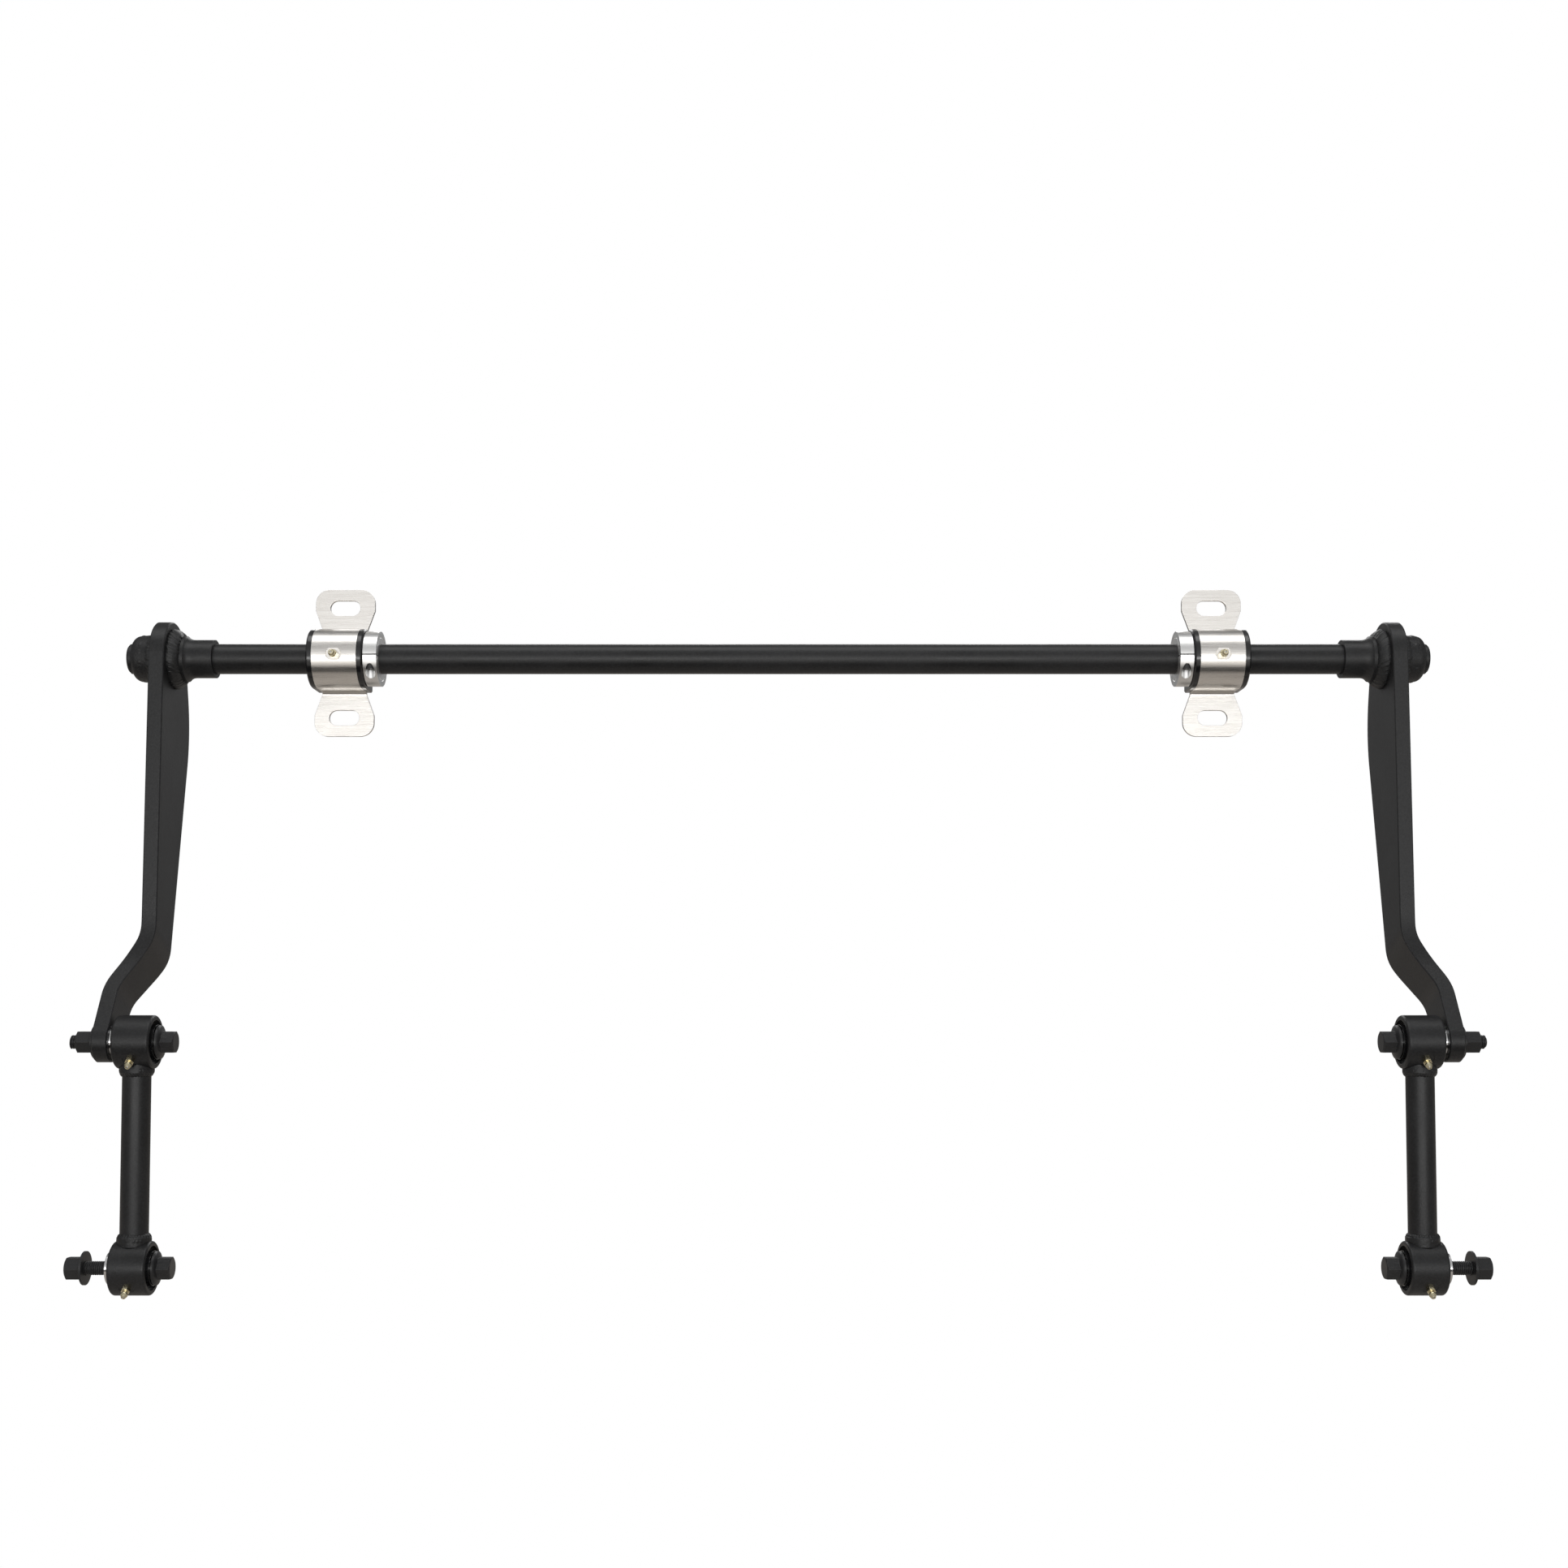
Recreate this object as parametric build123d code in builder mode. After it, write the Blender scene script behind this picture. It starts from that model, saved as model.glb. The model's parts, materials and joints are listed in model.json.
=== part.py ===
from build123d import *
from math import acos, degrees, radians, tan
import os

# Sway bar with welded arms, hung in two greasable brackets, with an end link at each arm tip.
# Millimetres. X runs along the bar, +Z is up, -Y is the front.
# The origin is the middle of the four bracket slots, on the plane that the bracket feet bolt to.

# ---- torsion bar and arms
bar_diameter = 28.575
bar_stub = 28.3           # bar left standing outside each arm
bar_chamfer = 1.5
arm_span = 1156.0         # between the inner faces of the two arms
arm_thickness = 14.3
arm_head_radius = 35.0    # round end of the arm, about the bar
arm_drop = 364.5          # bar axis down to the tip hole
arm_lean = 81.5           # tip hole forward of the bar axis
arm_tip_radius = 18.4
front_knee_forward = 42.6  # corners of the outline before rounding: forward of the bar axis,
front_knee_rise = 91.5    # and up from the tip hole
front_knee_radius = 90.0
back_knee_forward = 1.4
back_knee_rise = 66.9
back_knee_radius = 60.0
shoulder_back = 52.3
shoulder_drop = 65.0
shoulder_radius = 140.0
joggle_offset = 24.6      # how far the tip is set outboard
joggle_start_rise = 104.9  # the two bends, measured up the arm from the tip hole
joggle_end_rise = 52.7
joggle_bend_radius = 45.0  # middle of the plate
joggle_tilt = 26.0        # the bends slope down to the back by this angle
arm_edge_break = 1.0
tip_hole_room = 0.4       # radial room of the bolt in the arm
tip_hole_chamfer = 1.2

# ---- hubs and welds
bar_fit = 0.05            # radial room of everything bored for the bar
hub_flare_diameter = 43.6
hub_diameter = 36.4
hub_length = 39.5
hub_flare_length = 13.0
hub_taper_length = 8.0
hub_taper_slope = 1.2     # how steeply the taper leaves the flare
inner_weld_rise = 6.5     # up the arm's face, and along the hub
inner_weld_length = 10.0
outer_weld_length = 23.7
outer_weld_toe_diameter = 47.0
outer_weld_crown_diameter = 43.6
outer_weld_crown_length = 16.7
weld_bulge = 1.3          # how far a bead stands out from its straight flank

# ---- brackets
bracket_spacing = 840.0
bush_radius = 24.5        # round side of the D-shaped bush, and its height under the bar axis
bush_lip = 5.2
bush_lip_gap = 0.1        # bush lip to strap edge
bush_slit = 0.8
strap_thickness = 4.0
strap_width = 42.4
strap_bend_radius = 5.0   # middle of the metal
foot_reach = 71.4         # bar axis to the end of a foot
foot_width = 57.3
foot_corner = 13.2
foot_neck = 2.2           # straight part of the foot next to the strap
foot_taper = 20.3
slot_spacing = 107.0
slot_length = 29.1
slot_width = 14.8

# ---- clamp collars
collar_diameter = 52.5
collar_width = 13.0
collar_split = 1.0
collar_gap = 0.5          # collar to bush
collar_groove_diameter = 40.4
collar_groove_width = 1.0
collar_screw_diameter = 5.0
collar_head_diameter = 8.5
collar_head_height = 5.0
collar_head_room = 0.4
collar_seat = 8.5         # under the head, down from the bar axis
collar_screw_bite = 10.5  # screw length above the bar axis

# ---- grease fittings
fitting_hex = 7.1
fitting_hex_height = 4.4
fitting_shank = 6.0
fitting_shank_length = 5.0
fitting_neck = 4.6
fitting_neck_length = 1.6
fitting_head = 6.4
fitting_head_cone = 1.2
fitting_head_length = 1.2
fitting_tip = 4.0
fitting_height = 11.2
fitting_bore = 1.6
fitting_ball = 2.2
fitting_flat = 0.6        # how deep the hex sits in the round surface
ball_fit = 0.05           # radial room of the ball in its seat

# ---- end links and their bolts
link_length = 203.2
eye_diameter = 48.6
eye_width = 34.0
eye_wall = 4.4
eye_rounding = 2.2
link_bush_length = 37.3
link_bush_boss = 31.6
link_bush_recess = 4.0
link_bush_side_gap = 1.0
link_fitting_angle = 40.0
tube_diameter = 25.4
tube_wall = 4.0
neck_weld_diameter = 30.4
neck_weld_length = 5.7    # beyond the round of the eye
neck_weld_lip = 0.3       # how far the weld's thin edge stands off the tube
sleeve_diameter = 21.0
sleeve_fit = 0.05
sleeve_flange_diameter = 28.8
sleeve_flange = 2.2
bolt_diameter = 12.7
bolt_room = 0.2           # radial room of the bolt in its sleeve
bolt_length = 79.4
hex_across_flats = 19.05
head_height = 11.3
flange_diameter = 30.4
hex_face_share = 0.93     # the flat end of a hexagon, as a share of its width
hex_corner_angle = 30.0
flange_rim = 2.0
flange_cone = 2.2
nut_height = 13.2
nut_fit = 0.05
axle_tab_grip = 20.8      # room left on the lower bolts for the axle's tab

# ---- places that follow
bar_radius = bar_diameter / 2
bore_radius = bar_radius + bar_fit
axis_height = bush_radius
strap_radius = bush_radius + strap_thickness
arm_inner_x = arm_span / 2
arm_outer_x = arm_inner_x + arm_thickness
bracket_x = bracket_spacing / 2
bush_half = strap_width / 2 + bush_lip_gap + bush_lip
collar_x = bracket_x - bush_half - collar_gap - collar_width / 2
tip_inner_x = arm_inner_x + joggle_offset
tip_hole_diameter = bolt_diameter + 2 * tip_hole_room
sleeve_length = link_bush_length + 2 * link_bush_side_gap
link_x = tip_inner_x - sleeve_flange - sleeve_length / 2
eye_y = -axis_height - arm_lean
upper_eye_z = -arm_drop
lower_eye_z = -arm_drop - link_length
eye_radius = eye_diameter / 2
eye_bore_radius = eye_radius - eye_wall

bar_axis = Axis((0, -axis_height, 0), (1, 0, 0))
bar_section = Plane(origin=(0, -axis_height, 0), x_dir=(1, 0, 0), z_dir=(0, -1, 0))
side_plane = Plane(origin=(0, -axis_height, 0), x_dir=(0, 1, 0), z_dir=(1, 0, 0))
bracket_side = Plane(origin=(bracket_x, 0, 0), x_dir=(0, 1, 0), z_dir=(1, 0, 0))
bracket_front = Plane(origin=(bracket_x, 0, 0), x_dir=(1, 0, 0), z_dir=(0, -1, 0))

os.makedirs("parts", exist_ok=True)


def save(piece, name):
    piece.part.label = name
    export_step(piece.part, f"parts/{name}.step")


def save_pair(piece, name):
    """The right-hand piece, and its mirror image on the left."""
    save(piece, f"{name}_right")
    with BuildPart() as twin:
        mirror(piece.part, about=Plane.YZ)
    save(twin, f"{name}_left")


# ---------------------------------------------------------------- torsion bar
with BuildPart() as torsion_bar:
    with BuildSketch(side_plane):
        Circle(bar_radius)
    extrude(amount=arm_outer_x + bar_stub, both=True)
    chamfer(torsion_bar.edges().filter_by(GeomType.CIRCLE), bar_chamfer)
save(torsion_bar, "torsion_bar")

# ---------------------------------------------------------------- hubs
flare_radius = hub_flare_diameter / 2
hub_radius = hub_diameter / 2
taper_start = arm_inner_x - hub_flare_length
taper_end = taper_start - hub_taper_length

with BuildPart() as hub:
    with BuildSketch(bar_section):
        with BuildLine():
            Polyline(
                (arm_inner_x, bore_radius),
                (arm_inner_x, flare_radius),
                (taper_start, flare_radius),
            )
            taper = Spline(
                (taper_start, flare_radius),
                (taper_end, hub_radius),
                tangents=((-1, -hub_taper_slope), (-1, 0)),
            )
            Polyline(
                taper @ 1,
                (arm_inner_x - hub_length, hub_radius),
                (arm_inner_x - hub_length, bore_radius),
                (arm_inner_x, bore_radius),
            )
        make_face()
    revolve(axis=bar_axis)
save_pair(hub, "hub")

# ---------------------------------------------------------------- arms
# The blank is a plate with an offset bend, cut to the arm's outline as seen from the side.
bend_line = Vector(0, 1, 0).rotate(Axis.X, -joggle_tilt)
bend_plane = Plane(origin=(0, -axis_height, 0), x_dir=(1, 0, 0), z_dir=bend_line)
tip_along = bend_plane.to_local_coords(Vector(0, eye_y, upper_eye_z)).Y
blank_top = -2 * arm_head_radius
blank_end = tip_along + 2 * arm_tip_radius
arm_middle_x = arm_inner_x + arm_thickness / 2
tip_middle_x = arm_middle_x + joggle_offset

head_centre = Vector(0, 0)
tip_centre = Vector(-arm_lean, -arm_drop)
front_knee = Vector(-front_knee_forward, front_knee_rise - arm_drop)
back_knee = Vector(-back_knee_forward, back_knee_rise - arm_drop)
shoulder = Vector(shoulder_back, -shoulder_drop)


def touch(centre, radius, corner, way):
    """Where the straight edge from an outline corner runs onto a round end."""
    reach = corner - centre
    turn = degrees(acos(radius / reach.length))
    return centre + reach.normalized().rotate(Axis.Z, way * turn) * radius


head_back = touch(head_centre, arm_head_radius, shoulder, 1)
head_front = touch(head_centre, arm_head_radius, front_knee, -1)
tip_front = touch(tip_centre, arm_tip_radius, front_knee, 1)
tip_back = touch(tip_centre, arm_tip_radius, back_knee, -1)
tip_inward = (front_knee + back_knee) * 0.5 - tip_centre
tip_bottom = tip_centre - tip_inward.normalized() * arm_tip_radius

with BuildPart() as arm:
    with BuildSketch(bend_plane):
        with BuildLine() as blank:
            FilletPolyline(
                (arm_middle_x, blank_top),
                (arm_middle_x, tip_along - joggle_start_rise),
                (tip_middle_x, tip_along - joggle_end_rise),
                (tip_middle_x, blank_end),
                radius=joggle_bend_radius,
            )
            offset(amount=arm_thickness / 2, side=Side.BOTH)
        make_face()
    extrude(amount=4 * arm_head_radius, both=True)
    with BuildSketch(side_plane):
        with BuildLine():
            ThreePointArc(head_back, (0, arm_head_radius), head_front)
            FilletPolyline(head_front, front_knee, tip_front, radius=front_knee_radius)
            ThreePointArc(tip_front, tip_bottom, tip_back)
            FilletPolyline(
                tip_back,
                back_knee,
                shoulder,
                head_back,
                radius=[back_knee_radius, shoulder_radius],
            )
        make_face()
    extrude(amount=arm_span, mode=Mode.INTERSECT)
    outline = arm.edges().filter_by(Axis.X, reverse=True)
    outline = outline.filter_by(Axis((0, 0, 0), bend_line), reverse=True)
    chamfer(outline, arm_edge_break)
    with BuildSketch(side_plane):
        Circle(bore_radius)
        with Locations(tip_centre):
            Circle(tip_hole_diameter / 2)
    extrude(amount=arm_span, mode=Mode.SUBTRACT)
    tip_rims = arm.edges().filter_by(GeomType.CIRCLE)
    tip_rims = tip_rims.filter_by(lambda e: abs(e.radius - tip_hole_diameter / 2) < 0.01)
    chamfer(tip_rims, tip_hole_chamfer)
save_pair(arm, "arm")

# ---------------------------------------------------------------- arm welds
with BuildPart() as arm_weld_inner:
    with BuildSketch(bar_section):
        with BuildLine():
            toe = (arm_inner_x, flare_radius + inner_weld_rise)
            root = (arm_inner_x, flare_radius)
            heel = (arm_inner_x - inner_weld_length, flare_radius)
            middle_x = arm_inner_x - inner_weld_length / 2
            middle_radius = flare_radius + inner_weld_rise / 2
            Polyline(heel, root, toe)
            ThreePointArc(toe, (middle_x - weld_bulge, middle_radius + weld_bulge), heel)
        make_face()
    revolve(axis=bar_axis)
save_pair(arm_weld_inner, "arm_weld_inner")

with BuildPart() as arm_weld_outer:
    with BuildSketch(bar_section):
        with BuildLine():
            toe = (arm_outer_x, outer_weld_toe_diameter / 2)
            crown = (arm_outer_x + outer_weld_crown_length, outer_weld_crown_diameter / 2)
            heel = (arm_outer_x + outer_weld_length, bore_radius)
            bulge = ((crown[0] + heel[0]) / 2 + weld_bulge, (crown[1] + heel[1]) / 2 + weld_bulge)
            Polyline(heel, (arm_outer_x, bore_radius), toe, crown)
            ThreePointArc(crown, bulge, heel)
        make_face()
    revolve(axis=bar_axis)
save_pair(arm_weld_outer, "arm_weld_outer")

# ---------------------------------------------------------------- bracket straps
strap_middle = bush_radius + strap_thickness / 2
strap_seat = bracket_front.offset(axis_height + strap_radius - fitting_flat)
taper_base = strap_radius + foot_neck
taper_tip = taper_base + foot_taper

with BuildPart() as strap:
    with BuildSketch(bracket_side):
        with BuildLine():
            for way in (1, -1):
                FilletPolyline(
                    (-strap_thickness / 2, way * foot_reach),
                    (-strap_thickness / 2, way * strap_middle),
                    (-axis_height, way * strap_middle),
                    radius=strap_bend_radius,
                )
            ThreePointArc(
                (-axis_height, strap_middle),
                (-axis_height - strap_middle, 0),
                (-axis_height, -strap_middle),
            )
            offset(amount=strap_thickness / 2, side=Side.BOTH)
        make_face()
    extrude(amount=foot_width / 2, both=True)
    with BuildSketch(bracket_front) as foot_outline:
        Rectangle(strap_width, 2 * taper_base)
        for way in (1, -1):
            with BuildLine():
                Polyline(
                    (-strap_width / 2, way * taper_base),
                    (-foot_width / 2, way * taper_tip),
                    (-foot_width / 2, way * foot_reach),
                    (foot_width / 2, way * foot_reach),
                    (foot_width / 2, way * taper_tip),
                    (strap_width / 2, way * taper_base),
                    close=True,
                )
            make_face()
        ends = foot_outline.vertices().group_by(Axis.Y)
        fillet(ends[0] + ends[-1], foot_corner)
    extrude(amount=2 * strap_radius, mode=Mode.INTERSECT)
    with BuildSketch(bracket_front):
        with Locations((0, slot_spacing / 2), (0, -slot_spacing / 2)):
            SlotOverall(slot_length, slot_width)
    extrude(amount=2 * strap_thickness, mode=Mode.SUBTRACT)
    with BuildSketch(bracket_front):
        Circle(fitting_shank / 2)
    extrude(amount=2 * strap_radius, mode=Mode.SUBTRACT)
    with BuildSketch(strap_seat):
        Circle(fitting_hex)
    extrude(amount=strap_thickness, mode=Mode.SUBTRACT)
save_pair(strap, "bracket_strap")


# ---------------------------------------------------------------- D-shaped bushes
def bush_section(radius):
    """A D: round at the front, flat on the plane that the feet bolt to."""
    with Locations((-axis_height, 0)):
        Circle(radius)
    with Locations((-axis_height / 2, 0)):
        Rectangle(axis_height, 2 * radius)


with BuildPart() as bush:
    with BuildSketch(bracket_side):
        bush_section(bush_radius)
    extrude(amount=strap_width / 2 + bush_lip_gap, both=True)
    for way in (1, -1):
        lip_plane = bracket_side.offset(way * (strap_width / 2 + bush_lip_gap))
        with BuildSketch(lip_plane):
            bush_section(strap_radius)
        extrude(amount=way * bush_lip)
    rims = bush.faces().filter_by(Axis.X).sort_by(Axis.X)
    chamfer(rims[0].edges() + rims[-1].edges(), bush_lip / 4)
    with BuildSketch(side_plane.offset(bracket_x)):
        Circle(bore_radius)
    extrude(amount=bush_half, both=True, mode=Mode.SUBTRACT)
    with BuildSketch(bracket_side):
        with Locations((-axis_height / 2, 0)):
            Rectangle(axis_height, bush_slit)
    extrude(amount=bush_half, both=True, mode=Mode.SUBTRACT)
    with BuildSketch(bracket_front.offset(axis_height)):
        Circle(fitting_shank / 2)
    extrude(amount=strap_radius, mode=Mode.SUBTRACT)
save_pair(bush, "bracket_bush")

# ---------------------------------------------------------------- clamp collars
collar_radius = collar_diameter / 2
screw_reach = (bar_radius + collar_radius) / 2
collar_plane = side_plane.offset(collar_x)
collar_base = Plane(origin=(collar_x, -axis_height, 0), x_dir=(1, 0, 0), z_dir=(0, 0, 1))
screw_spots = ((0, screw_reach), (0, -screw_reach))


with BuildPart() as collar_ring:
    with BuildSketch(collar_plane):
        Circle(collar_radius)
        Circle(bar_radius, mode=Mode.SUBTRACT)
    extrude(amount=collar_width / 2, both=True)
    with BuildSketch(collar_plane.offset(-collar_width / 2)):
        Circle(collar_groove_diameter / 2 + collar_groove_width)
        Circle(collar_groove_diameter / 2, mode=Mode.SUBTRACT)
    extrude(amount=collar_groove_width / 2, mode=Mode.SUBTRACT)

with BuildPart() as collar_upper:
    add(collar_ring.part)
    split(bisect_by=collar_base.offset(collar_split / 2), keep=Keep.TOP)
    with BuildSketch(collar_base):
        with Locations(*screw_spots):
            Circle(collar_screw_diameter / 2)
    extrude(amount=collar_screw_bite + collar_head_room, mode=Mode.SUBTRACT)
save_pair(collar_upper, "collar_upper")

with BuildPart() as collar_lower:
    add(collar_ring.part)
    split(bisect_by=collar_base.offset(-collar_split / 2), keep=Keep.BOTTOM)
    with BuildSketch(collar_base):
        with Locations(*screw_spots):
            Circle(collar_screw_diameter / 2 + collar_head_room)
    extrude(amount=-collar_radius, mode=Mode.SUBTRACT)
    with BuildSketch(collar_base.offset(-collar_seat)):
        with Locations(*screw_spots):
            Circle(collar_head_diameter / 2 + collar_head_room)
    extrude(amount=-collar_radius, mode=Mode.SUBTRACT)
save_pair(collar_lower, "collar_lower")

with BuildPart() as collar_screws:
    with BuildSketch(collar_base.offset(-collar_seat)):
        with Locations(*screw_spots):
            Circle(collar_screw_diameter / 2)
    extrude(amount=collar_seat + collar_screw_bite)
    with BuildSketch(collar_base.offset(-collar_seat)):
        with Locations(*screw_spots):
            Circle(collar_head_diameter / 2)
    extrude(amount=-collar_head_height)
    with BuildSketch(collar_base.offset(-collar_seat - collar_head_height)):
        with Locations(*screw_spots):
            RegularPolygon(collar_head_diameter / 4, 6, major_radius=False)
    extrude(amount=collar_head_height / 2, mode=Mode.SUBTRACT)
save_pair(collar_screws, "collar_screws")


# ---------------------------------------------------------------- grease fittings
def grease_fitting(seat, name):
    """A ball-check grease nipple whose hex stands on the given plane, with its ball."""
    section = Plane(origin=seat.origin, x_dir=seat.x_dir, z_dir=-seat.y_dir)
    axis = Axis(seat.origin, seat.z_dir)
    ball_height = fitting_height - fitting_ball / 2
    head_start = fitting_hex_height + fitting_neck_length + fitting_head_cone
    with BuildPart() as fitting:
        with BuildSketch(seat):
            RegularPolygon(fitting_hex / 2, 6, major_radius=False)
        extrude(amount=fitting_hex_height)
        with BuildSketch(section):
            with BuildLine():
                Polyline(
                    (0, -fitting_shank_length),
                    (fitting_shank / 2, -fitting_shank_length),
                    (fitting_shank / 2, 0),
                    (fitting_neck / 2, fitting_hex_height),
                    (fitting_neck / 2, head_start - fitting_head_cone),
                    (fitting_head / 2, head_start),
                    (fitting_head / 2, head_start + fitting_head_length),
                    (fitting_tip / 2, fitting_height),
                    (0, fitting_height),
                    close=True,
                )
            make_face()
        revolve(axis=axis)
        with BuildSketch(seat.offset(-fitting_shank_length)):
            Circle(fitting_bore / 2)
        extrude(amount=fitting_shank_length + fitting_height, mode=Mode.SUBTRACT)
        with BuildSketch(seat.offset(ball_height - fitting_ball / 2)):
            Circle(fitting_ball / 2 + ball_fit)
        extrude(amount=fitting_ball, mode=Mode.SUBTRACT)
    save_pair(fitting, name)
    with BuildPart() as ball:
        with Locations(seat.offset(ball_height)):
            Sphere(fitting_ball / 2)
    save_pair(ball, f"{name}_ball")


grease_fitting(strap_seat, "bracket_fitting")


# ---------------------------------------------------------------- end links
def link_plane(height):
    """The plane across a link eye, through the eye's middle."""
    return Plane(origin=(link_x, eye_y, height), x_dir=(0, 1, 0), z_dir=(1, 0, 0))


with BuildPart() as tube:
    with BuildSketch(Plane.XY.offset(lower_eye_z)):
        with Locations((link_x, eye_y)):
            Circle(tube_diameter / 2)
            Circle(tube_diameter / 2 - tube_wall, mode=Mode.SUBTRACT)
    extrude(amount=link_length)
    for height in (upper_eye_z, lower_eye_z):
        with BuildSketch(link_plane(height)):
            Circle(eye_radius)
        extrude(amount=eye_width, both=True, mode=Mode.SUBTRACT)
save_pair(tube, "link_tube")


def link_end(place, height, inward):
    """One eye of the link with its neck weld, bush and grease fitting; inward is -1 for down."""
    across = link_plane(height)
    fitting_way = Vector(0, -1, 0).rotate(Axis.X, link_fitting_angle)
    seat = Plane(
        origin=Vector(link_x, eye_y, height) + fitting_way * (eye_radius - fitting_flat),
        x_dir=(1, 0, 0),
        z_dir=fitting_way,
    )

    with BuildPart() as eye:
        with BuildSketch(across):
            Circle(eye_radius)
        extrude(amount=eye_width / 2, both=True)
        fillet(eye.edges().filter_by(GeomType.CIRCLE), eye_rounding)
        with BuildSketch(across):
            Circle(eye_bore_radius)
        extrude(amount=eye_width / 2, both=True, mode=Mode.SUBTRACT)
        with BuildSketch(seat):
            Circle(fitting_shank / 2)
        extrude(amount=-2 * eye_wall, mode=Mode.SUBTRACT)
        with BuildSketch(seat):
            Circle(fitting_hex)
        extrude(amount=eye_wall, mode=Mode.SUBTRACT)
    save_pair(eye, f"link_eye_{place}")

    bush_end = link_bush_length / 2
    recess_floor = eye_width / 2 - link_bush_recess
    with BuildPart() as link_bush:
        with BuildSketch(across):
            Circle(link_bush_boss / 2)
        extrude(amount=bush_end, both=True)
        with BuildSketch(across):
            Circle(eye_bore_radius)
        extrude(amount=recess_floor, both=True)
        with BuildSketch(across):
            Circle(sleeve_diameter / 2 + sleeve_fit)
        extrude(amount=bush_end, both=True, mode=Mode.SUBTRACT)
        with BuildSketch(seat):
            Circle(fitting_shank / 2)
        extrude(amount=-eye_radius, mode=Mode.SUBTRACT)
    save_pair(link_bush, f"link_bush_{place}")

    weld_start = height + inward * eye_bore_radius
    weld_far = height + inward * (eye_radius + neck_weld_length)
    with BuildPart() as neck_weld:
        with BuildSketch(Plane(origin=(link_x, eye_y, weld_start), z_dir=(0, 0, inward))):
            Circle(neck_weld_diameter / 2)
        extrude(amount=abs(weld_far - weld_start))
        far_rim = neck_weld.edges().sort_by(Axis.Z)[-1 if inward > 0 else 0]
        chamfer(far_rim, (neck_weld_diameter - tube_diameter) / 2 - neck_weld_lip)
        with BuildSketch(Plane(origin=(link_x, eye_y, weld_start), z_dir=(0, 0, inward))):
            Circle(tube_diameter / 2)
        extrude(amount=2 * neck_weld_length + eye_wall, mode=Mode.SUBTRACT)
        with BuildSketch(across):
            Circle(eye_radius)
        extrude(amount=eye_width, both=True, mode=Mode.SUBTRACT)
        with BuildSketch(seat):
            Circle(fitting_hex)
        extrude(amount=fitting_height, mode=Mode.SUBTRACT)
    save_pair(neck_weld, f"link_weld_{place}")

    grease_fitting(seat, f"link_fitting_{place}")


link_end("upper", upper_eye_z, -1)
link_end("lower", lower_eye_z, 1)


# ---------------------------------------------------------------- link bolts, sleeves and nuts
def flanged_hex(seat, way, hex_height, height):
    """A hexagon on a coned flange that stands on X = seat; its outer corners are turned off."""
    hex_start = seat + way * (flange_rim + flange_cone)
    hex_end = hex_start + way * hex_height
    corner_radius = hex_across_flats / 3**0.5
    face_radius = hex_across_flats / 2 * hex_face_share
    turned_length = (corner_radius - face_radius) * tan(radians(hex_corner_angle))
    section = Plane(origin=(0, eye_y, height), x_dir=(1, 0, 0), z_dir=(0, -1, 0))
    turning = Axis((0, eye_y, height), (1, 0, 0))
    hex_base = Plane(origin=(seat, eye_y, height), x_dir=(0, 1, 0), z_dir=(way, 0, 0))
    with BuildPart() as blank:
        with BuildSketch(hex_base):
            RegularPolygon(hex_across_flats / 2, 6, major_radius=False)
        extrude(amount=abs(hex_end - seat))
        with BuildSketch(section):
            with BuildLine():
                Polyline(
                    (seat, 0),
                    (seat, corner_radius),
                    (hex_end - way * turned_length, corner_radius),
                    (hex_end, face_radius),
                    (hex_end, 0),
                    close=True,
                )
            make_face()
        revolve(axis=turning, mode=Mode.INTERSECT)
        with BuildSketch(section):
            with BuildLine():
                Polyline(
                    (seat, 0),
                    (seat, flange_diameter / 2),
                    (seat + way * flange_rim, flange_diameter / 2),
                    (hex_start, hex_across_flats / 2),
                    (hex_start, 0),
                    close=True,
                )
            make_face()
        revolve(axis=turning)
    return blank.part


def bolt_set(place, height, grip):
    """The flanged bolt, its flanged sleeve and the flanged nut of one eye."""
    flange_seat = tip_inner_x - sleeve_flange
    head_seat = flange_seat - sleeve_length
    nut_seat = tip_inner_x + grip
    head_plane = link_plane(height).offset(head_seat - link_x)

    with BuildPart() as bolt:
        add(flanged_hex(head_seat, -1, head_height, height))
        with BuildSketch(head_plane):
            Circle(bolt_diameter / 2)
        extrude(amount=bolt_length)
        chamfer(bolt.edges().sort_by(Axis.X)[-1], bolt_diameter / 12)
    save_pair(bolt, f"link_bolt_{place}")

    with BuildPart() as sleeve:
        with BuildSketch(head_plane):
            Circle(sleeve_diameter / 2)
        extrude(amount=sleeve_length)
        with BuildSketch(link_plane(height).offset(flange_seat - link_x)):
            Circle(sleeve_flange_diameter / 2)
        extrude(amount=sleeve_flange)
        with BuildSketch(head_plane):
            Circle(bolt_diameter / 2 + bolt_room)
        extrude(amount=sleeve_length + sleeve_flange, mode=Mode.SUBTRACT)
    save_pair(sleeve, f"link_sleeve_{place}")

    with BuildPart() as nut:
        add(flanged_hex(nut_seat, 1, nut_height, height))
        with BuildSketch(link_plane(height).offset(nut_seat - link_x)):
            Circle(bolt_diameter / 2 + nut_fit)
        extrude(amount=2 * nut_height, mode=Mode.SUBTRACT)
    save_pair(nut, f"link_nut_{place}")


bolt_set("upper", upper_eye_z, arm_thickness)
bolt_set("lower", lower_eye_z, axle_tab_grip)
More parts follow.
